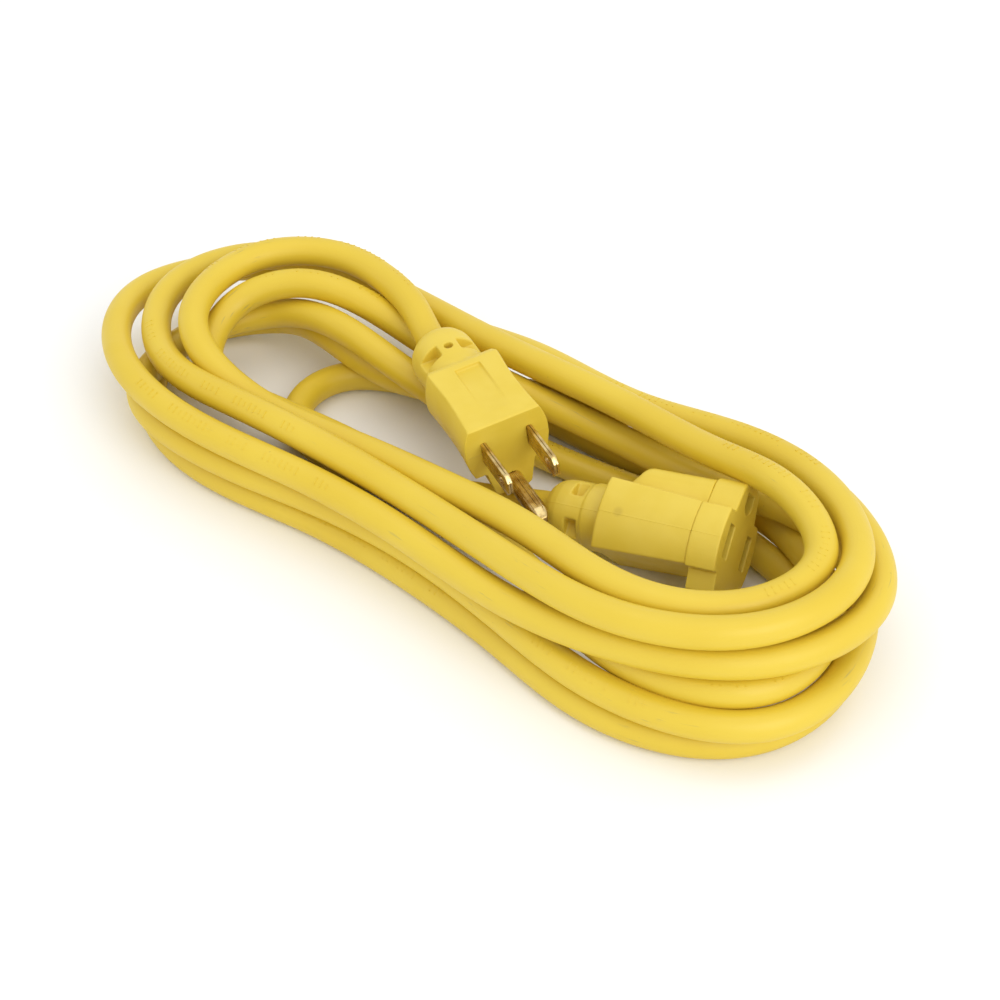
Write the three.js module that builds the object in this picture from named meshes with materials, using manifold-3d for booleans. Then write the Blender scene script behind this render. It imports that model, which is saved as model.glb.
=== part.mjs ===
// Three-wire extension cord, coiled into a long flat hank, in millimetres, +Z up.
// The origin lies on the surface under the middle of the hank, and +X runs along the hank.
import * as THREE from "three";
import { mergeVertices } from "three/addons/utils/BufferGeometryUtils.js";
import Module from "manifold-3d";

const wasm = await Module();
wasm.setup();

// Driving dimensions
const gap = 0.3; // between pieces that touch
const cordDiameter = 8;
const wireDiameter = 2.7; // one insulated conductor
const strandDiameter = 1.5; // its bare copper
const bladePitch = 12.7; // between the middles of the two flat blades
const bladeHeight = 6.35;
const bladeThickness = 1.5;
const bladeReach = 15.7; // from the face to the tip
const pinDrop = 11.9; // from the blades' line to the ground pin's axis
const pinDiameter = 4.8;
const pinReach = 18.4;
const halfTop = 9.8; // half the flat edge of the face, away from the ground pin
const halfWide = 12; // half the face at its widest
const halfLobe = 4.6; // half the end of the ground lobe
const flatEdge = 8; // from the blades' line to the flat edge
const lobeEnd = 15.5; // from the blades' line to the end of the ground lobe
const wall = 1.8; // of the moulded bodies
const plugLength = 26.5; // face to the back of the body, without its collar
const plugWaist = 0.07; // how much narrower the plug's body is in its middle
const plugRise = 0.13; // how much higher its flat side is at its back
const plugCollarEnd = 45;
const bandLength = 8; // the part of the connector's face housing that shows
const barrelEnd = 33.7;
const barrelFlare = 1.2; // how much higher and lower the barrel's back is than its front
const connectorCollarEnd = 51;
const collarRadius = 8.6;
const slotHalfHeight = 4.4;
const slotHalfWidth = 1.6;
const hank = { length: 240, width: 99, low: 31.6, high: 37.4, hole: 40 };

// Where the two ends lie: a place, then roll, pitch and yaw in degrees.
const plugPlace = { at: [12.7, -5.6, 27.5], turn: [7, -2.5, -25.2] };
const connectorPlace = { at: [74.2, 8.3, 18.8], turn: [-52, -9.4, 11.7] };

// The cord where it isn't coiled: from the plug into the hank, and from the hank to the connector.
const plugLeadRoute = [
  [-28.9, 14, 25.5],
  [-35.5, 17.3, 26.2],
  [-42.7, 21.1, 27.2],
];
const connectorLeadRoute = [
  [-38, 20, 4.2],
  [-49, 15, 4.2],
  [-57, 8.5, 4.2],
  [-60, 0.5, 4.2],
  [-59, -7.5, 4.2],
  [-54, -14.5, 4.2],
  [-45, -18.5, 4.2],
  [-34.5, -19.5, 4.2],
  [-22, -17.5, 4.2],
  [-9.5, -13, 4.6],
  [3.5, -7.5, 5.4],
  [15.2, -4.1, 7.7],
  [23.8, -2.2, 10.2],
];

// Materials' colours
const yellowPvc = { color: 0xe6c94c, roughness: 0.5, metalness: 0 };
const creamBlock = { color: 0xd8c48a, roughness: 0.6, metalness: 0 };
const brass = { color: 0xb98e3e, roughness: 0.3, metalness: 1 };
const copper = { color: 0xb8683a, roughness: 0.35, metalness: 1 };

// Solids: three.js geometry to a manifold solid and back.
function solid(geometry) {
  const bare = geometry.clone();
  bare.deleteAttribute("normal");
  bare.deleteAttribute("uv");
  const merged = mergeVertices(bare, 1e-4);
  return new wasm.Manifold(
    new wasm.Mesh({
      numProp: 3,
      vertProperties: new Float32Array(merged.attributes.position.array),
      triVerts: new Uint32Array(merged.index.array),
    }),
  );
}

function geometryOf(manifold) {
  const mesh = manifold.getMesh();
  const geometry = new THREE.BufferGeometry();
  geometry.setAttribute("position", new THREE.BufferAttribute(mesh.vertProperties, 3));
  geometry.setIndex(new THREE.BufferAttribute(mesh.triVerts, 1));
  geometry.computeVertexNormals();
  return geometry;
}

const joined = (first, ...others) => others.reduce((sum, next) => sum.add(next), first);
const cut = (body, ...tools) => tools.reduce((rest, tool) => rest.subtract(tool), body);

// A shape drawn across (y) and up (z), pushed out from x = from to x = to.
function alongX(shape, from, to, options = {}) {
  const geometry = new THREE.ExtrudeGeometry(shape, {
    depth: to - from,
    bevelEnabled: false,
    curveSegments: 6,
    ...options,
  });
  const basis = new THREE.Matrix4().makeBasis(
    new THREE.Vector3(0, 1, 0),
    new THREE.Vector3(0, 0, 1),
    new THREE.Vector3(1, 0, 0),
  );
  return geometry.applyMatrix4(basis).translate(from, 0, 0);
}

// A shape drawn along (x) and up (z), pushed out to y = half on both sides.
function alongY(shape, half, curveSegments = 8) {
  const options = { depth: 2 * half, bevelEnabled: false, curveSegments };
  return new THREE.ExtrudeGeometry(shape, options).rotateX(Math.PI / 2).translate(0, half, 0);
}

function box(fromX, toX, halfY, fromZ, toZ, y = 0) {
  const geometry = new THREE.BoxGeometry(toX - fromX, 2 * halfY, toZ - fromZ);
  return geometry.translate((fromX + toX) / 2, y, (fromZ + toZ) / 2);
}

// A round piece about an axis along X; profile holds [x, radius] pairs, from its back to its front.
function turned(profile, y, z, sides = 24) {
  const points = profile.map(([x, radius]) => new THREE.Vector2(radius, x));
  const geometry = new THREE.LatheGeometry(points, sides);
  return geometry.rotateZ(-Math.PI / 2).translate(0, y, z);
}

const rod = (from, to, radius, y, z, sides = 12) =>
  turned([[from, 0], [from, radius], [to, radius], [to, 0]], y, z, sides);

// A tube of the given diameter through the points.
function tube(points, diameter, steps, sides) {
  const curve = new THREE.CatmullRomCurve3(points.map((p) => new THREE.Vector3(...p)));
  const section = new THREE.Shape();
  for (let i = 0; i < sides; i++) {
    const angle = (2 * Math.PI * i) / sides;
    const x = (diameter / 2) * Math.cos(angle);
    const y = (diameter / 2) * Math.sin(angle);
    if (i) section.lineTo(x, y);
    else section.moveTo(x, y);
  }
  return new THREE.ExtrudeGeometry(section, { steps, extrudePath: curve, bevelEnabled: false });
}

// The face's outline: a flat edge, round flanks, shoulders and the narrow ground lobe.
// grow moves every side out; side is -1 with the lobe down and 1 with the lobe up.
function faceOutline(grow, side) {
  const shape = new THREE.Shape();
  const flat = -side * (flatEdge + grow);
  const shoulder = side * (7.4 + grow);
  const end = side * (lobeEnd + grow);
  const top = halfTop + grow;
  const wide = halfWide + grow;
  const lobe = halfLobe + grow;
  shape.moveTo(-top, flat);
  shape.lineTo(top, flat);
  shape.quadraticCurveTo(wide + 1.4, -side * 0.5, top, shoulder);
  shape.lineTo(lobe + 2.2, shoulder);
  shape.lineTo(lobe + 0.6, end - side * 1.5);
  shape.quadraticCurveTo(lobe, end, lobe - 1.5, end);
  shape.lineTo(-lobe + 1.5, end);
  shape.quadraticCurveTo(-lobe, end, -lobe - 0.6, end - side * 1.5);
  shape.lineTo(-lobe - 2.2, shoulder);
  shape.lineTo(-top, shoulder);
  shape.quadraticCurveTo(-wide - 1.4, -side * 0.5, -top, flat);
  return shape;
}

// The barrel behind the connector's band: the face without its lobe.
function barrelOutline(grow) {
  const shape = new THREE.Shape();
  const top = halfTop + grow;
  const wide = halfWide + grow;
  const high = 8 + grow;
  shape.moveTo(-top, -high);
  shape.lineTo(top, -high);
  shape.quadraticCurveTo(wide + 1.6, 0, top, high);
  shape.lineTo(-top, high);
  shape.quadraticCurveTo(-wide - 1.6, 0, -top, -high);
  return shape;
}

// The plug's body has a waist, rises a little towards its back, and loses most of its lobe there.
function tapered(geometry) {
  const place = geometry.attributes.position;
  for (let i = 0; i < place.count; i++) {
    const back = Math.min(1, Math.max(0, -place.getX(i) / plugLength));
    const z = place.getZ(i);
    place.setY(i, place.getY(i) * (1 - plugWaist * Math.sin(Math.PI * back)));
    if (z > 0) place.setZ(i, z * (1 + plugRise * back));
    if (z < -2) place.setZ(i, -2 + (z + 2) * (1 - 0.5 * back ** 3));
  }
  return geometry;
}

// The barrel of the connector stands higher at its back.
function flared(geometry) {
  const place = geometry.attributes.position;
  for (let i = 0; i < place.count; i++) {
    const back = Math.min(1, (-place.getX(i) - bandLength) / (barrelEnd - bandLength));
    place.setZ(i, place.getZ(i) + (Math.sign(place.getZ(i)) * barrelFlare * back));
  }
  return geometry;
}

// A strain relief collar with a domed end and four pockets that let it bend with the cord.
function collar(from, to, pockets) {
  const profile = [
    [to, 0],
    [to, 5],
    [to + 1, 6.6],
    [to + 3, 8],
    [to + 6, collarRadius],
    [from, collarRadius],
    [from, 0],
  ];
  const { back, front, y, z } = pockets;
  const windows = [-1, 1].flatMap((side) =>
    [-1, 1].map((top) => {
      const pocket = box(back, front, 5, 0, 10).translate(0, side * (y + 5), 0);
      return solid(top > 0 ? pocket.translate(0, 0, z) : pocket.translate(0, 0, -z - 10));
    }),
  );
  return cut(solid(turned(profile, 0, 0, 32)), ...windows);
}

// Pieces shared by both ends: jacket end, wires and copper inside the crimps.
const jacketLength = 9;
const crimpLength = 5;

function jacketEnd(end) {
  return rod(-end, -end + jacketLength, cordDiameter / 2, 0, 0, 16);
}

// A wire's route from its place in the jacket, at an angle round it, to its crimp.
function wireRoute(jacketX, crimpX, y, crimpZ, degrees) {
  const angle = (degrees * Math.PI) / 180;
  const startY = 2 * Math.cos(angle);
  const startZ = 2 * Math.sin(angle);
  const startX = jacketX + gap;
  const endX = crimpX - gap;
  return [
    [startX, startY, startZ],
    [startX + 1, startY, startZ],
    [(startX + endX) / 2, (startY + y) / 2, (startZ + crimpZ) / 2],
    [endX - 1, y, crimpZ],
    [endX, y, crimpZ],
  ];
}

// The room that a wire and its crimp take up in the moulding round them.
function wireRoom(route, crimpX, y, z) {
  return [
    solid(tube(route, wireDiameter + 2 * gap, 8, 8)),
    solid(rod(crimpX - crimpLength - gap, crimpX + 1, 1.9 + gap, y, z, 16)),
  ];
}

function crimp(x, y, z) {
  const profile = [[x - crimpLength, 1.1], [x - crimpLength, 1.9], [x + 1, 1.9], [x + 1, 0]];
  profile.push([x, 0], [x, 1.1], [x - crimpLength, 1.1]);
  return solid(turned(profile, y, z, 12));
}

const strands = (x, y, z) => rod(x - crimpLength, x - gap, strandDiameter / 2, y, z, 8);

// The two flat blades and the ground pin
const bladeRoot = -13; // where a blade ends inside, and its crimp begins
const pinRoot = -7;

function blade(y) {
  const shape = new THREE.Shape();
  const half = bladeHeight / 2;
  shape.moveTo(bladeRoot, -half);
  shape.lineTo(bladeReach - 1.4, -half);
  shape.lineTo(bladeReach, -half + 1.5);
  shape.lineTo(bladeReach, half - 1.5);
  shape.lineTo(bladeReach - 1.4, half);
  shape.lineTo(bladeRoot, half);
  shape.lineTo(bladeRoot, -half);
  const hole = new THREE.Path();
  hole.absellipse(bladeReach - 4, 0, 1.7, 1.2, 0, 2 * Math.PI, true);
  shape.holes.push(hole);
  const leaf = alongY(shape, bladeThickness / 2).translate(0, y, 0);
  const fold = box(-2, bladeReach - 2.5, 0.1, half - 0.5, half + 1, y);
  return cut(joined(solid(leaf), crimp(bladeRoot, y, 0)), solid(fold));
}

function groundPin() {
  const radius = pinDiameter / 2;
  const profile = [
    [pinRoot, 0],
    [pinRoot, radius],
    [pinReach - 2, radius],
    [pinReach, radius - 1.5],
    [pinReach, 0],
  ];
  const pin = solid(turned(profile, 0, -pinDrop, 20));
  const seam = solid(box(2, pinReach - 3, 0.15, -pinDrop + radius - 0.6, -pinDrop + radius + 1));
  return cut(joined(pin, crimp(pinRoot, 0, -pinDrop)), seam);
}

const halfPitch = bladePitch / 2;
const slot = (fromX, toX, y, halfHeight, halfThick) =>
  solid(box(fromX, toX, halfThick, -halfHeight, halfHeight, y));

// Where each wire goes: across, how far from the blades' line, and where it sits in the jacket.
const coreBack = -19; // the back of the connector's core, and of its cap
const capBack = -21.5;
const contactCrimp = coreBack + 2;
const poles = [
  { name: "neutral", y: -halfPitch, rise: 0, degrees: 210, plugCrimp: bladeRoot, colour: 0xe8e6df },
  { name: "line", y: halfPitch, rise: 0, degrees: -30, plugCrimp: bladeRoot, colour: 0x1b1b1b },
  { name: "ground", y: 0, rise: pinDrop, degrees: 90, plugCrimp: pinRoot, colour: 0x2f7a3c },
];
for (const pole of poles) {
  pole.plugRoute = wireRoute(
    -plugCollarEnd + jacketLength,
    pole.plugCrimp - crimpLength,
    pole.y,
    -pole.rise,
    -pole.degrees,
  );
  pole.connectorRoute = wireRoute(
    -connectorCollarEnd + jacketLength,
    contactCrimp - crimpLength,
    pole.y,
    pole.rise,
    pole.degrees,
  );
}

// Holes for the blades and the pin, wider than they are by the gap.
function bladeHoles(fromX, toX) {
  const halfHeight = bladeHeight / 2 + gap;
  const halfThick = bladeThickness / 2 + gap;
  return [
    slot(fromX, toX, -halfPitch, halfHeight, halfThick),
    slot(fromX, toX, halfPitch, halfHeight, halfThick),
    solid(rod(fromX, toX, pinDiameter / 2 + gap, 0, -pinDrop, 20)),
  ];
}

const blockBack = -10;

function plugOvermould() {
  const outside = solid(tapered(alongX(faceOutline(0, -1), -plugLength, 0, { steps: 6 })));
  const hollow = solid(
    tapered(alongX(faceOutline(-wall, -1), -plugLength + 2.4, -2, { steps: 6 })),
  );
  const panel = solid(box(-23.5, -4.7, 3.5, flatEdge - 0.4, flatEdge + 2, 0.5));
  const bore = solid(rod(-plugCollarEnd - 1, -plugLength + 4, cordDiameter / 2 + gap, 0, 0, 24));
  const pockets = { back: -36.4, front: -32.2, y: 2.8, z: 4.8 };
  const shell = joined(outside, collar(-plugLength + 1, -plugCollarEnd, pockets));
  const rooms = poles.flatMap((pole) =>
    wireRoom(pole.plugRoute, pole.plugCrimp, pole.y, -pole.rise),
  );
  return cut(shell, hollow, bore, panel, ...bladeHoles(-3, 1), ...rooms, pinRoom());
}

const pinRoom = () => solid(rod(pinRoot - gap, 1, pinDiameter / 2 + gap, 0, -pinDrop, 20));

function plugBladeBlock() {
  const block = solid(tapered(alongX(faceOutline(-wall - gap, -1), blockBack, -2 - gap, { steps: 3 })));
  return cut(block, ...bladeHoles(blockBack - 1, 0));
}

// Connector: the face housing's band and core, its rear cap, and the contacts.
function contactSlots(fromX, toX) {
  const ground = new THREE.Shape();
  ground.moveTo(-2.4, pinDrop + 1.9);
  ground.lineTo(-2.4, pinDrop - 0.8);
  ground.absarc(0, pinDrop - 0.8, 2.4, Math.PI, 2 * Math.PI, false);
  ground.lineTo(2.4, pinDrop + 1.9);
  return [
    slot(fromX, toX, -halfPitch, slotHalfHeight, slotHalfWidth),
    slot(fromX, toX, halfPitch, slotHalfHeight, slotHalfWidth),
    solid(alongX(ground, fromX, toX, { curveSegments: 12 })),
  ];
}

function footOutline() {
  const shape = new THREE.Shape();
  shape.moveTo(-6.8, -13.4);
  shape.lineTo(6.8, -13.4);
  shape.lineTo(8.6, -7);
  shape.lineTo(-8.6, -7);
  return shape;
}

function connectorFaceHousing() {
  const band = joined(
    solid(alongX(faceOutline(0.4, 1), -bandLength, 0)),
    solid(alongX(footOutline(), -bandLength + 0.5, 0)),
  );
  const core = solid(alongX(faceOutline(-wall - gap, 1), coreBack, -1));
  const rooms = [
    slot(coreBack - 1, -3, -halfPitch, slotHalfHeight, 2.4),
    slot(coreBack - 1, -3, halfPitch, slotHalfHeight, 2.4),
    solid(box(coreBack - 1, -3, 2.7, pinDrop - 2.7, pinDrop + 2.1)),
  ];
  return cut(joined(band, core), ...rooms, ...contactSlots(coreBack - 1, 1));
}

function connectorRearCap() {
  const cap = solid(alongX(faceOutline(-wall - gap, 1), capBack, coreBack - gap));
  const holes = [
    [-halfPitch, 0],
    [halfPitch, 0],
    [0, pinDrop],
  ].map(([y, z]) => solid(rod(capBack - 1, coreBack + 1, 1.9 + gap, y, z, 16)));
  return cut(cap, ...holes);
}

// A contact is a strip folded into two leaves that grip the blade, with a crimp behind.
function contact(y, z, halfHeight, halfOpen) {
  const leaves = box(coreBack + 2, -4, halfOpen, z - halfHeight, z + halfHeight, y);
  const between = box(coreBack + 3, -3, halfOpen - 0.6, z - halfHeight - 1, z + halfHeight + 1, y);
  return joined(cut(solid(leaves), solid(between)), crimp(coreBack + 2, y, z));
}

function connectorOvermould() {
  const barrel = solid(flared(alongX(barrelOutline(0), -barrelEnd, -bandLength - gap)));
  const fin = new THREE.Shape();
  fin.moveTo(-7.2, 5);
  fin.lineTo(7.2, 5);
  fin.lineTo(6, 13);
  fin.quadraticCurveTo(5.4, 15, 3.4, 15);
  fin.lineTo(-3.4, 15);
  fin.quadraticCurveTo(-5.4, 15, -6, 13);
  const ridge = solid(alongX(fin, -30.5, -bandLength - gap));
  const slope = new THREE.Shape();
  slope.moveTo(-26, 16);
  slope.lineTo(-33, 16);
  slope.lineTo(-33, 9.4);
  slope.lineTo(-30.2, 9.4);
  const pockets = { back: -43.8, front: -40.5, y: 4.8, z: 3.1 };
  const neck = collar(-barrelEnd + 1, -connectorCollarEnd, pockets);
  const shell = cut(joined(barrel, ridge, neck), solid(alongY(slope, 10)));
  const hollow = joined(
    solid(alongX(faceOutline(-wall, 1), capBack - gap, 0)),
    solid(alongX(barrelOutline(-wall), -barrelEnd + 2.4, capBack)),
  );
  const bore = solid(rod(-connectorCollarEnd - 1, -barrelEnd + 4, cordDiameter / 2 + gap, 0, 0, 24));
  const lowCorner = solid(box(capBack - 1, 1, 14, -9, -flatEdge + wall));
  const rooms = poles.flatMap((pole) =>
    wireRoom(pole.connectorRoute, contactCrimp, pole.y, pole.rise),
  );
  return cut(shell, cut(hollow, lowCorner), bore, ...rooms);
}

// The hank: a long ring with round ends, lower at its left end, open in the middle.
function stadium(shape, middle, radius) {
  shape.absarc(middle, 0, radius, -Math.PI / 2, Math.PI / 2, false);
  shape.absarc(-middle, 0, radius, Math.PI / 2, (3 * Math.PI) / 2, false);
  return shape;
}

function hankRing(clearances) {
  const radius = hank.width / 2;
  const outline = stadium(new THREE.Shape(), hank.length / 2 - radius, radius);
  const inner = stadium(new THREE.Path(), hank.length / 2 - radius - 4, hank.hole / 2);
  outline.holes.push(inner);
  const options = { depth: hank.high, bevelEnabled: false, curveSegments: 16 };
  const geometry = new THREE.ExtrudeGeometry(outline, options);
  const place = geometry.attributes.position;
  for (let i = 0; i < place.count; i++) {
    const along = Math.min(1, Math.max(0, (place.getX(i) + 60) / 120));
    if (place.getZ(i) > 1) place.setZ(i, hank.low + (hank.high - hank.low) * along);
  }
  return cut(solid(geometry), ...clearances);
}

// Assembly
const object = new THREE.Group();

function place(group, name, shape, finish) {
  const geometry = shape.isBufferGeometry ? shape : geometryOf(shape);
  const mesh = new THREE.Mesh(geometry, new THREE.MeshStandardMaterial(finish));
  mesh.name = name;
  group.add(mesh);
}

function endGroup({ at, turn }) {
  const group = new THREE.Group();
  const [roll, pitch, yaw] = turn.map((degrees) => (degrees * Math.PI) / 180);
  group.position.set(...at);
  group.rotation.set(roll, pitch, yaw, "ZYX");
  group.updateMatrixWorld(true);
  object.add(group);
  return group;
}

const plug = endGroup(plugPlace);
const connector = endGroup(connectorPlace);

place(plug, "plug_overmould", plugOvermould(), yellowPvc);
place(plug, "plug_blade_block", plugBladeBlock(), creamBlock);
place(plug, "plug_neutral_blade", blade(-halfPitch), brass);
place(plug, "plug_line_blade", blade(halfPitch), brass);
place(plug, "plug_ground_pin", groundPin(), brass);
place(plug, "plug_jacket_end", jacketEnd(plugCollarEnd), yellowPvc);

place(connector, "connector_overmould", connectorOvermould(), yellowPvc);
place(connector, "connector_face_housing", connectorFaceHousing(), yellowPvc);
place(connector, "connector_rear_cap", connectorRearCap(), creamBlock);
place(connector, "connector_neutral_contact", contact(-halfPitch, 0, 3.6, 2), brass);
place(connector, "connector_line_contact", contact(halfPitch, 0, 3.6, 2), brass);
place(connector, "connector_ground_contact", contact(0, pinDrop, 1.2, 2.3), brass);
place(connector, "connector_jacket_end", jacketEnd(connectorCollarEnd), yellowPvc);

for (const pole of poles) {
  const { name, y, rise } = pole;
  const finish = { color: pole.colour, roughness: 0.5, metalness: 0 };
  place(plug, `plug_${name}_wire`, tube(pole.plugRoute, wireDiameter, 8, 8), finish);
  place(plug, `plug_${name}_strands`, strands(pole.plugCrimp, y, -rise), copper);
  place(connector, `connector_${name}_wire`, tube(pole.connectorRoute, wireDiameter, 8, 8), finish);
  place(connector, `connector_${name}_strands`, strands(contactCrimp, y, rise), copper);
}

// The cord
const leadRoom = cordDiameter + 2 * gap;
const plugLead = tube(plugLeadRoute, cordDiameter, 3, 12);
const connectorLead = tube(connectorLeadRoute, cordDiameter, 20, 12);
const connectorRoom = alongX(faceOutline(1.6, 1), -barrelEnd - 1, 1);
const clearances = [
  solid(tube(plugLeadRoute, leadRoom, 3, 12)),
  solid(tube(connectorLeadRoute, leadRoom, 20, 12)),
  solid(tube(connectorLeadRoute, leadRoom, 20, 12).translate(0, 0, -cordDiameter / 2)),
  solid(connectorRoom.applyMatrix4(connector.matrixWorld)),
];
place(object, "cord_plug_lead", plugLead, yellowPvc);
place(object, "cord_connector_lead", connectorLead, yellowPvc);
place(object, "cord_hank", hankRing(clearances), yellowPvc);

export default object;
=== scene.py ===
# Yellow outdoor extension cord, wound by hand into a long flat hank with both its ends inside.
# Sizes are in millimetres beside the code that uses them, and turn to metres on the way out.
import math
import bmesh
import bpy
import numpy as np
from mathutils import Euler, Matrix, Vector


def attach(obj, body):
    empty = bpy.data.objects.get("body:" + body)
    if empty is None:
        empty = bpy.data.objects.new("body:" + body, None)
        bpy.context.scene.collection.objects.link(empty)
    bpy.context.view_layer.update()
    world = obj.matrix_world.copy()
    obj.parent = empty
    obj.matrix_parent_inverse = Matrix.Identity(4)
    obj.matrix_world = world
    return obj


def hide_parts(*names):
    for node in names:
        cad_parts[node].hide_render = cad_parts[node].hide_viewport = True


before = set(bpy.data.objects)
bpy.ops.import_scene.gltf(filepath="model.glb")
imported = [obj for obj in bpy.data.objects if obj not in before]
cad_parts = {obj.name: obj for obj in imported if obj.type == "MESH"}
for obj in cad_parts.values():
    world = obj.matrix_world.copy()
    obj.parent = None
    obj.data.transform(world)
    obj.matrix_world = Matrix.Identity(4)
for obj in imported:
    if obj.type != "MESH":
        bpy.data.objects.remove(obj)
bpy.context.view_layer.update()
mm = 0.001

# ---- camera and light ----
view = {"place": (285.4, -330.2, 390.1), "lookAt": (5.2, 0.3, 0), "lens": 79.96, "sensor": 36}


def addCamera():
    data = bpy.data.cameras.new("camera")
    data.lens = view["lens"]
    data.sensor_width = view["sensor"]
    data.clip_start = 0.01
    camera = bpy.data.objects.new("camera", data)
    bpy.context.scene.collection.objects.link(camera)
    place = Vector(view["place"]) * mm
    camera.location = place
    camera.rotation_euler = (Vector(view["lookAt"]) * mm - place).to_track_quat("-Z", "Y").to_euler()
    bpy.context.scene.camera = camera


addCamera()
print("camera placed")

# ---- the cord's route ----
# The uncoiled stretches are points along the cord. Each turn of the coil goes once round a racetrack,
# from the middle of its front right corner: lane is how far outside the racetrack the cord lies at each
# of sixteen stations, and height how high, both in millimetres.
route = {
    "diameter": 8,
    "plugLead": [(-28.9, 14, 25.5), (-35.5, 17.3, 26.2), (-42.7, 21.1, 27.2), (-57.6, 25.6, 27.7)],
    "connectorLead": [
        (-38, 20, 4.2), (-49, 15, 4.2), (-57, 8.5, 4.2), (-60, 0.5, 4.2), (-59, -7.5, 4.2), (-54, -14.5, 4.2),
        (-45, -18.5, 4.2), (-34.5, -19.5, 4.2), (-22, -17.5, 4.2), (-9.5, -13, 4.6), (3.5, -7.5, 5.4),
        (15.2, -4.1, 7.7), (23.8, -2.2, 10.2),
    ],
    "halfStraight": 74,
    "endRadius": 36,
    "stations": 16,
    "firstStation": 8,
    "lanes": [
        [-10.3, -14.9, -15.7, -12, -8.3, -9.8, -10.2, -7],
        [-4.5, -8.5, -10.6, -16.4, -13.8, -10.5, -10, -6.5, -7, -5, -2.8, -2.6, -1.2, -2.4, -2.3, 2.5],
        [4, 0.9, -2, -5, -1, -3.5, -3, -1.5, -3, -0.5, 8, 8, 9.5, 6, 5, 7],
        [4.5, 3.5, 4.1, -0.2, 4, 1.5, -8, -25, -23.5, -16.5, -5.5, 2, 8, 4, 3, 6],
        [9, 6.5, -2, -13, -10.5, -15.5, -22, -28.5, -28, -26.5, -19, 4, 9.5, 4.5, 2, 5.5],
        [8.5, 10.4, 1.5, -3.5, -9, -10, -15.5, -15.5, -25, -26.8, -22.7, -15.2, -13.5, -17, -15, -6.5],
        [1.5, 4.5, -6.5, -9.5, -0.5, -4.5, -6],
    ],
    "heights": [
        [27.5, 27.5, 26.5, 25.5, 19.3, 20.9, 24.9, 30],
        [32.5, 32.5, 33, 34.5, 30.5, 27, 25, 21, 20, 20, 21, 20.5, 23, 24, 23.9, 28],
        [32, 34, 32.5, 30.5, 26.5, 22, 20.5, 14, 13, 13, 16, 20, 20, 20, 19.5, 20],
        [23.5, 26, 25, 23.9, 19, 15.5, 11.5, 10.5, 11, 6, 4, 4, 4, 4, 4, 4],
        [4, 4, 4, 4, 4, 4.5, 8, 19.5, 18, 15.5, 13.5, 12, 12, 12, 12, 12],
        [12, 12.4, 12.5, 16.2, 16.3, 14.8, 18.5, 19, 26.5, 25, 21.3, 14.8, 13, 13, 13, 16],
        [16, 18, 14.5, 11, 5, 4.5, 4],
    ],
}
plugPlace = {"at": (12.7, -5.6, 27.5), "turn": (7, -2.5, -25.2)}
connectorPlace = {"at": (74.2, 8.3, 18.8), "turn": (-52, -9.4, 11.7)}


def endMatrix(place):
    turn = Euler([math.radians(angle) for angle in place["turn"]], "XYZ")
    return Matrix.Translation(Vector(place["at"]) * mm) @ turn.to_matrix().to_4x4()


def racetrack(distance):
    # a point of the racetrack and the direction that points out of it
    half, radius = route["halfStraight"], route["endRadius"]
    around = math.pi * radius
    distance %= 4 * half + 2 * around
    side = 1
    if distance > around + 2 * half:
        distance -= around + 2 * half
        side = -1
    if distance < around:
        angle = distance / radius
        out = Vector((side * math.sin(angle), -side * math.cos(angle), 0))
        return Vector((side * half, 0, 0)) + radius * out, out
    along = half - (distance - around)
    return Vector((side * along, side * radius, 0)), Vector((0, side, 0))


def coilPoints():
    step = (4 * route["halfStraight"] + 2 * math.pi * route["endRadius"]) / route["stations"]
    points = []
    station = route["firstStation"]
    for lanes, heights in zip(route["lanes"], route["heights"]):
        for lane, height in zip(lanes, heights):
            point, out = racetrack(station * step)
            points.append(point + lane * out + Vector((0, 0, height)))
            station += 1
    return points


def smoothLine(points, step):
    # a natural cubic spline over the distance between the points, which bends as a cord does
    points = np.array([tuple(point) for point in points], float)
    lengths = np.linalg.norm(np.diff(points, axis=0), axis=1)
    slopes = np.diff(points, axis=0) / lengths[:, None]
    system = np.eye(len(points))
    target = np.zeros((len(points), 3))
    for i in range(1, len(points) - 1):
        system[i, i - 1 : i + 2] = lengths[i - 1], 2 * (lengths[i - 1] + lengths[i]), lengths[i]
        target[i] = 6 * (slopes[i] - slopes[i - 1])
    bends = np.linalg.solve(system, target)
    line = []
    for i, length in enumerate(lengths):
        steps = max(1, round(length / step))
        for far in np.arange(steps) / steps:
            near = 1 - far
            sag = (near**3 - near) * bends[i] + (far**3 - far) * bends[i + 1]
            line.append(near * points[i] + far * points[i + 1] + sag * length**2 / 6)
    line.append(points[-1])
    return np.array(line)


# ---- mesh helpers: every solid is lofted through sections, in millimetres, in its end's own axes ----
def newObject(name, mesh):
    thing = bpy.data.objects.new(name, mesh)
    bpy.context.scene.collection.objects.link(thing)
    return thing


def loft(sections, name="cutter"):
    form = bmesh.new()
    rings = [[form.verts.new(point) for point in section] for section in sections]
    for low, high in zip(rings, rings[1:]):
        for i in range(len(low)):
            j = (i + 1) % len(low)
            form.faces.new((low[i], low[j], high[j], high[i]))
    form.faces.new(list(reversed(rings[0])))
    form.faces.new(rings[-1])
    bmesh.ops.recalc_face_normals(form, faces=form.faces)
    mesh = bpy.data.meshes.new(name)
    form.to_mesh(mesh)
    form.free()
    return newObject(name, mesh)


def across(x, outline):
    return [(x, y, z) for y, z in outline]


def circle(radius, z=0, sides=64, y=0):
    angles = [2 * math.pi * i / sides for i in range(sides)]
    return [(y + radius * math.cos(angle), z + radius * math.sin(angle)) for angle in angles]


def rectangle(lowY, highY, lowZ, highZ):
    return [(lowY, lowZ), (highY, lowZ), (highY, highZ), (lowY, highZ)]


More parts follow.
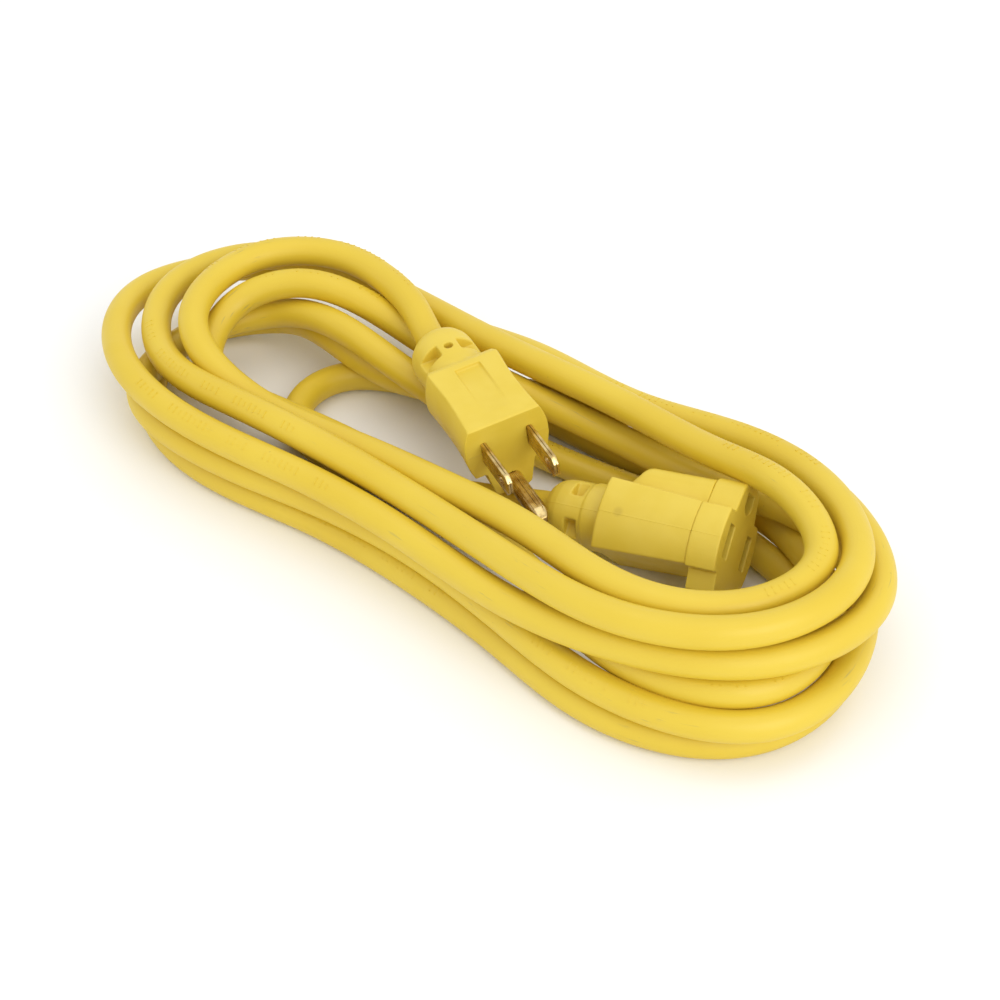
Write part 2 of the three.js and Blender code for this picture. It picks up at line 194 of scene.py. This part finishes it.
def block(fromX, toX, lowY, highY, lowZ, highZ):
    outline = rectangle(lowY, highY, lowZ, highZ)
    return loft([across(fromX, outline), across(toX, outline)])


def rod(fromX, toX, radius, y=0, z=0, sides=32):
    outline = circle(radius, z, sides, y)
    return loft([across(fromX, outline), across(toX, outline)])


def arc(start, middle, end, count=14):
    # a quadratic curve, without its end
    curve = []
    for i in range(count):
        far = i / count
        near = 1 - far
        curve.append(
            tuple(near * near * a + 2 * near * far * b + far * far * c for a, b, c in zip(start, middle, end))
        )
    return curve


def mirrored(half):
    return half + [(-y, z) for y, z in reversed(half)]


def settle(thing):
    # the shape that the modifiers give becomes the mesh
    shape = thing.evaluated_get(bpy.context.evaluated_depsgraph_get())
    mesh = bpy.data.meshes.new_from_object(shape)
    thing.modifiers.clear()
    old = thing.data
    thing.data = mesh
    bpy.data.meshes.remove(old)


def combine(body, operation, others):
    for other in others:
        change = body.modifiers.new(operation.lower(), "BOOLEAN")
        change.operation = operation
        change.solver = "EXACT"
        change.object = other
    settle(body)
    for other in others:
        bpy.data.meshes.remove(other.data)
    return body


def mould(body, grain, passes):
    # even quads all over, then every edge takes the small radius that a mould leaves
    remesh = body.modifiers.new("remesh", "REMESH")
    remesh.mode = "VOXEL"
    remesh.voxel_size = grain
    smooth = body.modifiers.new("smooth", "SMOOTH")
    smooth.factor = 0.5
    smooth.iterations = passes
    settle(body)
    body.data.shade_smooth()
    return body


def finishEnd(body, name, place, nodes):
    # the materials need each point's place along its own plug or connector, so it is kept beside the mesh
    body.name = name
    body.data.name = name
    body.data.transform(Matrix.Scale(mm, 4))
    points = np.empty(len(body.data.vertices) * 3, np.float32)
    body.data.vertices.foreach_get("co", points)
    body.data.attributes.new("own_place", "FLOAT_VECTOR", "POINT").data.foreach_set("vector", points)
    body.data.transform(endMatrix(place))
    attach(body, "root")
    if nodes:
        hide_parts(*nodes)
    return body


# ---- cord ----
jacket = {
    "step": 1.8,
    "sides": 40,
    "insideCollar": 8.5,  # how far the jacket runs into each moulding
    "layLength": 95,  # one twist of the three wires under the jacket
    "layHeight": 0.035,
    "unevenness": 0.03,
}


def cordLine():
    plugAxis = endMatrix(plugPlace).to_3x3().col[0]
    connectorAxis = endMatrix(connectorPlace).to_3x3().col[0]
    start = Vector(route["plugLead"][0]) + plugAxis * jacket["insideCollar"]
    end = Vector(route["connectorLead"][-1]) + connectorAxis * jacket["insideCollar"]
    points = [start, *route["plugLead"], *coilPoints(), *route["connectorLead"], end]
    return smoothLine(points, jacket["step"])


def cordFrames(line):
    ahead = np.gradient(line, axis=0)
    ahead /= np.linalg.norm(ahead, axis=1)[:, None]
    side = np.cross(ahead, (0, 0, 1))
    side /= np.linalg.norm(side, axis=1)[:, None]
    along = np.r_[0, np.cumsum(np.linalg.norm(np.diff(line, axis=0), axis=1))]
    return along, ahead, side, np.cross(side, ahead)


def cordMesh(line):
    along, ahead, side, up = cordFrames(line)
    sides = jacket["sides"]
    around = np.arange(sides) * 2 * math.pi / sides  # from the bottom of the cord, where the seam lies
    radius = route["diameter"] / 2
    lay = np.cos(3 * around[None, :] - 2 * math.pi * along[:, None] / jacket["layLength"])
    slow = np.sin(along / 17) + np.sin(along / 7.3 + 1) * np.cos(along / 41)
    radii = radius + jacket["layHeight"] * lay + jacket["unevenness"] * slow[:, None] / 2
    spokes = -np.cos(around)[None, :, None] * up[:, None] + np.sin(around)[None, :, None] * side[:, None]
    points = (line[:, None] + radii[:, :, None] * spokes) * mm
    form = bmesh.new()
    uvs = form.loops.layers.uv.new("along_and_around")
    rings = [[form.verts.new(point) for point in ring] for ring in points]
    width = 2 * math.pi * radius / sides * mm
    for i, (low, high) in enumerate(zip(rings, rings[1:])):
        for j in range(sides):
            k = (j + 1) % sides
            face = form.faces.new((low[j], high[j], high[k], low[k]))
            face.smooth = True
            corners = ((i, j), (i + 1, j), (i + 1, j + 1), (i, j + 1))
            for loop, (ring, spoke) in zip(face.loops, corners):
                loop[uvs].uv = (along[ring] * mm, spoke * width)
    form.faces.new(rings[0])
    form.faces.new(list(reversed(rings[-1])))
    bmesh.ops.recalc_face_normals(form, faces=form.faces)
    mesh = bpy.data.meshes.new("cord")
    form.to_mesh(mesh)
    form.free()
    return mesh


marks = {
    "every": 1.75,
    "group": (5, 9, 4, 7, 3),  # ticks in each group, in turn
    "space": 4.5,
    "words": 5,
    "rest": 210,  # plain jacket between one string of groups and the next
    "length": (2, 2, 1.3),
    "width": 0.34,
    "proud": 0.05,
    "sunk": 0.15,  # how far a tick's foot reaches into the jacket
    "plainEnd": 30,
    "angle": 0.35,  # from the top of the cord, in radians
    "drift": 0.35,
    "driftLength": 90,
}


def markMesh(line):
    # short raised ticks in groups along the jacket, in place of the embossing such cords carry
    along, ahead, side, up = cordFrames(line)
    form = bmesh.new()
    distance, group, tick = marks["plainEnd"], 0, 0
    while distance < along[-1] - marks["plainEnd"]:
        place, forward, right, top = (
            Vector([np.interp(distance, along, axis) for axis in values.T])
            for values in (line, ahead, side, up)
        )
        angle = marks["angle"] + marks["drift"] * math.sin(distance / marks["driftLength"])
        spoke = (top * math.cos(angle) + right * math.sin(angle)).normalized()
        around = forward.cross(spoke).normalized()
        centre = place + spoke * (route["diameter"] / 2 - marks["sunk"])
        length = marks["length"][tick % len(marks["length"])]
        size = (marks["width"], length, 2 * (marks["proud"] + marks["sunk"]))
        turn = Matrix((forward.normalized(), around, spoke)).transposed().to_4x4()
        stretch = Matrix.Diagonal((*size, 1))
        bmesh.ops.create_cube(form, size=1, matrix=Matrix.Translation(centre) @ turn @ stretch)
        tick += 1
        distance += marks["every"]
        if tick == marks["group"][group % len(marks["group"])]:
            group, tick = group + 1, 0
            distance += marks["space"] if group % marks["words"] else marks["rest"]
    bmesh.ops.scale(form, vec=(mm, mm, mm), verts=form.verts)
    mesh = bpy.data.meshes.new("cord_marks")
    form.to_mesh(mesh)
    form.free()
    return mesh


line = cordLine()
cord = newObject("cord", cordMesh(line))
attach(cord, "root")
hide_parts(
    "cord_plug_lead", "cord_hank", "cord_connector_lead", "plug_jacket_end", "connector_jacket_end"
)
cordMarks = newObject("cord_marks", markMesh(line))
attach(cordMarks, "root")

# ---- the shape that the plug's face and the connector's face share ----
face = {"halfTop": 9.8, "halfWide": 13.4, "flat": 8, "shoulder": 7.4, "halfLobe": 4.6, "end": 15.5}


def faceOutline(side, grow=0, rounding=1.5):
    # side is -1 with the ground lobe down, 1 with it up
    top, wide, lobe = face["halfTop"] + grow, face["halfWide"] + grow, face["halfLobe"] + grow
    flat, shoulder, end = face["flat"] + grow, face["shoulder"] + grow, face["end"] + grow
    corner = (top, -flat)
    half = arc(corner, (wide, -0.5), (top, shoulder)) + [(top, shoulder), (lobe + 2.2, shoulder)]
    start = (lobe + 0.6 + 0.1 * rounding, end - rounding)
    half += arc(start, (lobe + 0.3, end), (lobe + 0.4 - rounding, end), 8) + [(lobe + 0.4 - rounding, end)]
    outline = mirrored(half)
    return [(y, side * z) for y, z in outline]


bladeShape = {"pitch": 12.7, "height": 6.35, "thickness": 1.5, "reach": 15.7, "root": -13}
pinShape = {"drop": 11.9, "diameter": 4.8, "reach": 18.4, "root": -7}
crimpLength = 5

# ---- plug moulding ----
plugBody = {
    "length": 26.5,
    "waist": 0.07,
    "rise": 0.13,
    "collar": [
        (-25, 8.3), (-30.5, 8.4), (-33.5, 8.7), (-39.4, 8.8), (-41.2, 8.65), (-42.8, 8.1),
        (-44.1, 7.2), (-44.9, 6.1), (-45.3, 4.9),
    ],
    "windows": (-36.4, -32.2),
    "panel": {"back": -23.5, "front": -4.7, "lowY": -3, "highY": 4, "deep": 0.1, "shallow": -0.15},
    "grain": 0.26,
}


def plugSection(x, inset=0):
    back = min(1, -x / plugBody["length"])
    section = []
    for y, z in faceOutline(-1):
        y *= (1 - plugBody["waist"] * math.sin(math.pi * back)) * (1 - inset / 10)
        if z > 0:
            z *= 1 + plugBody["rise"] * back
        if z < -2:
            z = -2 + (z + 2) * (1 - 0.5 * back**3)
        section.append((x, y, z * (1 - inset / 9)))
    return section


def collarWindows(span, lowY, lowZ):
    # four pockets cut into the collar; on the real plug they let it bend with the cord
    sides = [sorted((side * lowY, side * 11)) for side in (-1, 1)]
    tops = [sorted((side * lowZ, side * 11)) for side in (-1, 1)]
    return [block(*span, *side, *top) for side in sides for top in tops]


def slots(fromX, toX, halfHeight, halfThick):
    half = bladeShape["pitch"] / 2
    return [
        block(fromX, toX, y - halfThick, y + halfThick, -halfHeight, halfHeight) for y in (-half, half)
    ]


def makePlugMoulding():
    back = -plugBody["length"]
    stops = [0, -0.5, -3, -6, -9, -12, -15, -18, -21, -23.5, back + 1.2]
    sections = [plugSection(x) for x in stops] + [plugSection(back - 0.7, 0.8)]
    body = loft(sections, "plug_moulding")
    collar = loft([across(x, circle(radius)) for x, radius in plugBody["collar"]])
    combine(body, "UNION", [collar])
    panel = plugBody["panel"]
    flat = face["flat"]
    recess = loft([
        across(panel[end], rectangle(panel["lowY"], panel["highY"], flat - panel[depth], flat + 2))
        for end, depth in (("back", "deep"), ("front", "shallow"))
    ])
    hole = loft([[(-34.3 + a, b, z) for a, b in circle(1.2, 0, 24)] for z in (6.2, 10)])
    cuts = [recess, hole, rod(-46, -30, 4.05)]
    cuts += collarWindows(plugBody["windows"], 2.8, 3.9)
    tight = 0.1  # the moulding grips the brass, and its edges open a little in the moulding below
    cuts += slots(-14, 1, bladeShape["height"] / 2 - tight, bladeShape["thickness"] / 2 - tight)
    cuts.append(rod(-8, 1, pinShape["diameter"] / 2 - tight, 0, -pinShape["drop"]))
    combine(body, "DIFFERENCE", cuts)
    return mould(body, plugBody["grain"], 5)


plugMoulding = finishEnd(
    makePlugMoulding(), "plug_moulding", plugPlace, ["plug_overmould"]
)
print("plug moulding made")


# ---- blades and ground pin: folded and rolled from brass strip ----
def sharpen(body, degrees=32):
    body.data.shade_smooth()
    body.data.set_sharp_from_angle(angle=math.radians(degrees))


def crimpBarrel(x, y, z):
    return rod(x - crimpLength, x + 1, 1.9, y, z, 24)


def makeBlade(y):
    half = bladeShape["height"] / 2
    thick = bladeShape["thickness"] / 2
    reach = bladeShape["reach"]
    outline = [
        (bladeShape["root"], -half), (reach - 1.5, -half), (reach, -half + 1.6),
        (reach, half - 1.6), (reach - 1.5, half), (bladeShape["root"], half),
    ]
    leaf = loft([[(x, y + side * thick, z) for x, z in outline] for side in (-1, 1)], "blade")
    edges = leaf.modifiers.new("bevel", "BEVEL")
    edges.width = 0.2
    edges.segments = 3
    edges.limit_method = "ANGLE"
    settle(leaf)
    seamTop = block(-1, reach - 2.2, y - 0.09, y + 0.09, half - 0.9, half + 1)
    seamTip = block(reach - 0.7, reach + 1, y - 0.09, y + 0.09, -half + 1.2, half - 1.2)
    oval = loft([
        [(reach - 4 + 1.75 * a, y + side * 2, 1.25 * b) for a, b in circle(1, 0, 32)] for side in (-1, 1)
    ])
    combine(leaf, "DIFFERENCE", [seamTop, seamTip, oval])
    combine(leaf, "UNION", [crimpBarrel(bladeShape["root"], y, 0)])
    sharpen(leaf)
    return leaf


def pinSection(x, radius, flat, square=0.0):
    # a circle with a flat along its top, which turns towards a square at the tip
    section = []
    for i in range(64):
        angle = 2 * math.pi * (i + 0.5) / 64
        y, z = math.cos(angle), math.sin(angle)
        reach = radius * ((1 - square) + square * 0.82 / max(abs(y), abs(z)))
        section.append((x, y * reach, min(z * reach, flat) - pinShape["drop"]))
    return section


def makePin():
    radius, reach = pinShape["diameter"] / 2, pinShape["reach"]
    pin = loft([
        pinSection(pinShape["root"], radius, radius - 0.28),
        pinSection(reach - 3.2, radius, radius - 0.28),
        pinSection(reach - 2.9, radius - 0.03, radius - 0.3, 0.2),
        pinSection(reach - 0.9, radius - 0.75, radius - 0.85, 0.8),
        pinSection(reach - 0.3, radius - 1.1, radius - 1.15, 0.9),
        pinSection(reach, radius - 1.5, radius - 1.5, 0.9),
    ], "pin")
    drop = -pinShape["drop"]
    seam = block(1.5, reach - 3.4, -0.1, 0.1, drop + radius - 0.75, drop + radius + 1)
    combine(pin, "DIFFERENCE", [seam])
    combine(pin, "UNION", [crimpBarrel(pinShape["root"], 0, drop)])
    sharpen(pin)
    return pin


halfPitch = bladeShape["pitch"] / 2
brassParts = [
    finishEnd(makeBlade(-halfPitch), "neutral_blade", plugPlace, ["plug_neutral_blade"]),
    finishEnd(makeBlade(halfPitch), "line_blade", plugPlace, ["plug_line_blade"]),
    finishEnd(makePin(), "ground_pin", plugPlace, ["plug_ground_pin"]),
]
print("blades and pin made")

# ---- connector ----
connectorBody = {
    "band": 8,  # the length of the face piece
    "seam": 0.02,
    "barrelEnd": 33.7,
    "flare": 1.2,
    "collar": [
        (-33, 7.6), (-34.3, 7.6), (-34.4, 8.3), (-34.7, 8.6), (-39.2, 8.6), (-39.5, 8.2), (-44.8, 8.2),
        (-47, 8), (-48.8, 7.4), (-50.3, 6.3), (-51, 4.9),
    ],
    "windows": (-43.8, -40.5),
    "grain": 0.26,
}


def barrelOutline(inset=0, flare=0):
    top, wide, high = 9.8 - inset, 13.6 - inset, 8 - inset + flare
    half = arc((top, -high), (wide, 0), (top, high), 20) + [(top, high)]
    return mirrored(half)


def finOutline(top):
    half = [(7.2, 4), (6.3, top - 3.4)] + arc((6.2, top - 3.2), (6, top), (3, top), 8)
    half += [(3, top), (0.5, top)]
    return mirrored(half)


def contactCuts(fromX, toX):
    # two upright slots and a ground slot that is flat on its outer side
    ground = [(-2.35, 13.7)] + [
        (2.35 * math.cos(angle), 10.9 + 2.35 * math.sin(angle))
        for angle in (math.pi + math.pi * i / 16 for i in range(17))
    ] + [(2.35, 13.7)]
    return slots(fromX, toX, 4.4, 1.6) + [loft([across(fromX, ground), across(toX, ground)])]


def makeConnectorMoulding():
    front = -connectorBody["band"] - connectorBody["seam"]
    back = -connectorBody["barrelEnd"]
    body = loft([
        across(front, barrelOutline()), across(back + 0.5, barrelOutline(0, connectorBody["flare"])),
        across(back, barrelOutline(0.5, connectorBody["flare"])),
    ], "connector_moulding")
    fin = loft([
        across(front, finOutline(15)), across(-25.2, finOutline(14.6)), across(-26.3, finOutline(14.3)),
        across(-27.2, finOutline(13.6)), across(-30.2, finOutline(9.4)),
    ])
    collar = loft([across(x, circle(radius)) for x, radius in connectorBody["collar"]])
    combine(body, "UNION", [fin, collar])
    cuts = [rod(-52, -38, 4.05)] + collarWindows(connectorBody["windows"], 3.9, 3.1) + contactCuts(-15, 0)
    combine(body, "DIFFERENCE", cuts)
    return mould(body, connectorBody["grain"], 5)


def makeConnectorFace():
    band = -connectorBody["band"]
    outline = faceOutline(1, 0.4, 3.6)
    inner = faceOutline(1, 0.2, 3.6)
    body = loft([
        across(band, inner), across(band + 0.2, outline), across(-0.3, outline), across(0, inner),
    ], "connector_face")
    foot = [(-6.8, -13.4), (6.8, -13.4), (8.6, -7), (-8.6, -7)]
    combine(body, "UNION", [loft([across(band + 0.5, foot), across(0, foot)])])
    combine(body, "DIFFERENCE", contactCuts(-15, 1))
    return mould(body, 0.22, 4)


connectorMoulding = finishEnd(
    makeConnectorMoulding(), "connector_moulding", connectorPlace, ["connector_overmould"]
)
connectorFace = finishEnd(
    makeConnectorFace(), "connector_face", connectorPlace, ["connector_face_housing"]
)
print("connector made")


# ---- materials ----
def hexColour(code):
    # an sRGB hex value as the linear colour that the shader wants
    parts = [int(code[i : i + 2], 16) / 255 for i in (1, 3, 5)]
    linear = [part / 12.92 if part <= 0.04045 else ((part + 0.055) / 1.055) ** 2.4 for part in parts]
    return (*linear, 1)


def newMaterial(name):
    material = bpy.data.materials.new(name)
    material.use_nodes = True
    return material, material.node_tree, material.node_tree.nodes["Principled BSDF"]


def addNode(tree, kind, settings=None, inputs=None, output=0):
    # adds one node with its settings, and links or sets its inputs by name or number
    node = tree.nodes.new("ShaderNode" + kind)
    for name, value in (settings or {}).items():
        setattr(node, name, value)
    for name, value in (inputs or {}).items():
        if isinstance(value, bpy.types.NodeSocket):
            tree.links.new(value, node.inputs[name])
        else:
            node.inputs[name].default_value = value
    return node.outputs[output]


def patternAt(tree, where, size, stretch=(1, 1, 1), detail=3, output=0):
    # a noise whose features are about size millimetres across, drawn out by stretch
    scaled = addNode(tree, "Mapping", {"vector_type": "POINT"}, {"Vector": where, "Scale": stretch})
    return addNode(
        tree, "TexNoise", None, {"Vector": scaled, "Scale": 1 / (size * mm), "Detail": detail}, output
    )


def fade(tree, value, low, high, start=0.0, end=1.0):
    return addNode(
        tree, "MapRange", {"interpolation_type": "SMOOTHSTEP"},
        {"Value": value, "From Min": low, "From Max": high, "To Min": start, "To Max": end},
    )


def blend(tree, factor, first, second):
    return addNode(tree, "Mix", {"data_type": "RGBA"}, {0: factor, 6: first, 7: second}, 2)


def product(tree, first, second):
    return addNode(tree, "Math", {"operation": "MULTIPLY"}, {0: first, 1: second})


def bump(tree, height, millimetres, normal=None):
    inputs = {"Height": height, "Strength": 1.0, "Distance": millimetres * mm}
    if normal is not None:
        inputs["Normal"] = normal
    return addNode(tree, "Bump", None, inputs)


polymerIor = 1.53  # plasticised PVC and nylon alike
pvcColours = {
    "body": "#D7B82C", "light": "#DBBE36", "scuff": "#948A58", "speck": "#6B5A2A",
    "mouldedBody": "#DBBF3C", "mouldedLight": "#DEC344", "ejectorDimpleShade": "#A88A2A",
}
ejectorShadeMiddle = (-28, -12, 0.5)  # the middle of the faint round painted shade on the connector's flank, standing in for the shadow of a shallow ejector-pin dimple


def extrudedYellowPvc():
    # cord jacket: drawn through a die, so fine lines run along it, with rub marks from handling
    material, tree, shader = newMaterial("extruded_yellow_pvc")
    place = addNode(tree, "TexCoord", None, None, "Object")
    drawn = addNode(tree, "UVMap", {"uv_map": "along_and_around"})
    patches = fade(tree, patternAt(tree, place, 45, detail=2), 0.35, 0.65)
    colour = blend(tree, patches, hexColour(pvcColours["body"]), hexColour(pvcColours["light"]))
    rubbed = fade(tree, patternAt(tree, drawn, 1.0, (0.09, 1, 1), 4), 0.62, 0.72)
    where = fade(tree, patternAt(tree, place, 34, detail=1), 0.58, 0.7)
    scuff = product(tree, product(tree, rubbed, where), 0.55)
    colour = blend(tree, scuff, colour, hexColour(pvcColours["scuff"]))
    specks = product(tree, fade(tree, patternAt(tree, place, 0.9, detail=1), 0.8, 0.83), 0.25)
    colour = blend(tree, specks, colour, hexColour(pvcColours["speck"]))
    tree.links.new(colour, shader.inputs["Base Color"])
    shader.inputs["IOR"].default_value = polymerIor
    haze = fade(tree, patternAt(tree, place, 12), 0.3, 0.7, 0.42, 0.54)
    tree.links.new(haze, shader.inputs["Roughness"])
    lines = bump(tree, patternAt(tree, drawn, 0.7, (0.02, 1, 1), 2), 0.02)
    grain = bump(tree, patternAt(tree, place, 0.5, detail=2), 0.012, lines)
    lumps = bump(tree, patternAt(tree, place, 6, detail=1), 0.12, grain)
    tree.links.new(lumps, shader.inputs["Normal"])
    return material


def partingLine(tree, own):
    # where the two halves of the mould met, on the flanks of each end
    parts = [addNode(tree, "SeparateXYZ", None, {0: own}, axis) for axis in (1, 2)]
    y, z = [addNode(tree, "Math", {"operation": "ABSOLUTE"}, {0: part}) for part in parts]
    return product(tree, fade(tree, z, 0.07 * mm, 0.2 * mm, 1, 0), fade(tree, y, 4 * mm, 5 * mm))


def mouldedYellowPvc():
    # plug and connector: the mould's spark-eroded grain, about 0.3 mm, gives a dry satin skin
    material, tree, shader = newMaterial("moulded_yellow_pvc")
    place = addNode(tree, "TexCoord", None, None, "Object")
    patches = fade(tree, patternAt(tree, place, 9, detail=2), 0.35, 0.65)
    low, high = hexColour(pvcColours["mouldedBody"]), hexColour(pvcColours["mouldedLight"])
    colour = blend(tree, patches, low, high)
    specks = product(tree, fade(tree, patternAt(tree, place, 0.8, detail=1), 0.8, 0.83), 0.2)
    colour = blend(tree, specks, colour, hexColour(pvcColours["speck"]))
    own = addNode(tree, "Attribute", {"attribute_name": "own_place"}, None, "Vector")
    away = addNode(
        tree, "VectorMath", {"operation": "DISTANCE"}, {0: own, 1: Vector(ejectorShadeMiddle) * mm}, "Value"
    )
    # a darker round spot: painted shade standing in for the shadow of a shallow ejector-pin dimple, which the
    # mesh does not have
    ejectorDimpleShade = product(tree, fade(tree, away, 0.6 * mm, 1.8 * mm, 1, 0), 0.3)
    colour = blend(tree, ejectorDimpleShade, colour, hexColour(pvcColours["ejectorDimpleShade"]))
    tree.links.new(colour, shader.inputs["Base Color"])
    shader.inputs["IOR"].default_value = polymerIor
    haze = fade(tree, patternAt(tree, place, 5), 0.3, 0.7, 0.46, 0.56)
    tree.links.new(haze, shader.inputs["Roughness"])
    grain = bump(tree, patternAt(tree, place, 0.3, detail=2), 0.014)
    sink = bump(tree, patternAt(tree, place, 7, detail=1), 0.12, grain)
    sink = bump(tree, partingLine(tree, own), 0.05, sink)
    tree.links.new(sink, shader.inputs["Normal"])
    return material


def stampedBrass():
    # rolled brass strip: brushed along its length, darkened where hands and air have dulled it
    material, tree, shader = newMaterial("stamped_brass")
    place = addNode(tree, "Attribute", {"attribute_name": "own_place"}, None, "Vector")
    dull = fade(tree, patternAt(tree, place, 3.5, detail=4), 0.38, 0.68)
    colour = blend(tree, dull, hexColour("#DCC58C"), hexColour("#AE8E52"))
    tree.links.new(colour, shader.inputs["Base Color"])
    shader.inputs["Metallic"].default_value = 1
    brushed = patternAt(tree, place, 0.25, (0.06, 1, 1), 3)
    rough = fade(tree, brushed, 0.3, 0.7, 0.2, 0.38)
    tree.links.new(rough, shader.inputs["Roughness"])
    tree.links.new(bump(tree, brushed, 0.006), shader.inputs["Normal"])
    return material


def strandedCopper():
    # bare copper strands: twisted lines about a strand apart, with painted shade in the grooves between them
    material, tree, shader = newMaterial("stranded_copper")
    place = addNode(tree, "TexCoord", None, None, "Object")
    strands = addNode(
        tree, "TexWave", {"wave_type": "BANDS", "bands_direction": "DIAGONAL"},
        {"Vector": place, "Scale": 1 / (0.9 * mm), "Distortion": 0.4}, 1,
    )
    # the darker bands are painted shade in the grooves between the strands, which the bump also sinks
    colour = blend(tree, strands, hexColour("#8C4A2A"), hexColour("#C77B4E"))
    tree.links.new(colour, shader.inputs["Base Color"])
    shader.inputs["Metallic"].default_value = 1
    shader.inputs["Roughness"].default_value = 0.35
    tree.links.new(bump(tree, strands, 0.08), shader.inputs["Normal"])
    return material


def wireInsulation(name, low, high):
    # extruded PVC insulation with a faint talc bloom
    material, tree, shader = newMaterial(name)
    place = addNode(tree, "TexCoord", None, None, "Object")
    bloom = fade(tree, patternAt(tree, place, 2.5), 0.4, 0.7)
    tree.links.new(blend(tree, bloom, hexColour(low), hexColour(high)), shader.inputs["Base Color"])
    shader.inputs["IOR"].default_value = polymerIor
    rough = fade(tree, bloom, 0, 1, 0.38, 0.55)
    tree.links.new(rough, shader.inputs["Roughness"])
    tree.links.new(bump(tree, patternAt(tree, place, 0.4), 0.01), shader.inputs["Normal"])
    return material


def mouldedNylon():
    # inner blocks: natural nylon, slightly cloudy and matte
    material, tree, shader = newMaterial("moulded_nylon")
    place = addNode(tree, "TexCoord", None, None, "Object")
    cloud = fade(tree, patternAt(tree, place, 6), 0.35, 0.65)
    colour = blend(tree, cloud, hexColour("#CDB877"), hexColour("#DBC88D"))
    tree.links.new(colour, shader.inputs["Base Color"])
    shader.inputs["IOR"].default_value = polymerIor
    shader.inputs["Roughness"].default_value = 0.6
    tree.links.new(bump(tree, patternAt(tree, place, 0.35), 0.015), shader.inputs["Normal"])
    return material


def paint(thing, material):
    thing.data.materials.clear()
    thing.data.materials.append(material)


mouldedPvc, brass = mouldedYellowPvc(), stampedBrass()
copper, nylon = strandedCopper(), mouldedNylon()
jacketPvc = extrudedYellowPvc()
paint(cord, jacketPvc)
paint(cordMarks, jacketPvc)
for thing in (plugMoulding, connectorMoulding, connectorFace):
    paint(thing, mouldedPvc)
for thing in brassParts:
    paint(thing, brass)
insulation = {
    "neutral": wireInsulation("white_pvc", "#DAD7CD", "#ECEAE2"),
    "line": wireInsulation("black_pvc", "#161616", "#242423"),
    "ground": wireInsulation("green_pvc", "#256B34", "#33804A"),
}
for pole, wire in insulation.items():
    paint(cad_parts[f"connector_{pole}_contact"], brass)
    for end in ("plug", "connector"):
        paint(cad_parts[f"{end}_{pole}_wire"], wire)
        paint(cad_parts[f"{end}_{pole}_strands"], copper)
for name in ("plug_blade_block", "connector_rear_cap"):
    paint(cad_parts[name], nylon)
print("materials made")

# ---- studio ----
studio = {
    "floor": "#F6F6F4",
    "sky": 1.0,
    "key": {"at": (-0.1, 0.1, 1.2), "size": 1.0, "watts": 1.6},
    "fill": {"at": (1.2, -0.35, 0.85), "size": 1.1, "watts": 7},
}


def addFloor():
    form = bmesh.new()
    bmesh.ops.create_grid(form, x_segments=1, y_segments=1, size=4)
    mesh = bpy.data.meshes.new("floor")
    form.to_mesh(mesh)
    form.free()
    floor = newObject("floor", mesh)
    material, tree, shader = newMaterial("pale_floor")
    shader.inputs["Base Color"].default_value = hexColour(studio["floor"])
    shader.inputs["Roughness"].default_value = 0.8
    paint(floor, material)


def addLight(name, at, size, watts):
    data = bpy.data.lights.new(name, "AREA")
    data.shape = "DISK"
    data.size = size
    data.energy = watts
    lamp = newObject(name, data)
    lamp.location = at
    lamp.rotation_euler = (-Vector(at)).to_track_quat("-Z", "Y").to_euler()


def addSky():
    world = bpy.data.worlds.new("studio")
    world.use_nodes = True
    background = world.node_tree.nodes["Background"]
    background.inputs["Color"].default_value = (1, 1, 1, 1)
    background.inputs["Strength"].default_value = studio["sky"]
    bpy.context.scene.world = world


addFloor()
addSky()
for name in ("key", "fill"):
    addLight(name, **studio[name])
bpy.context.scene.view_settings.view_transform = "Standard"
print("studio lit")
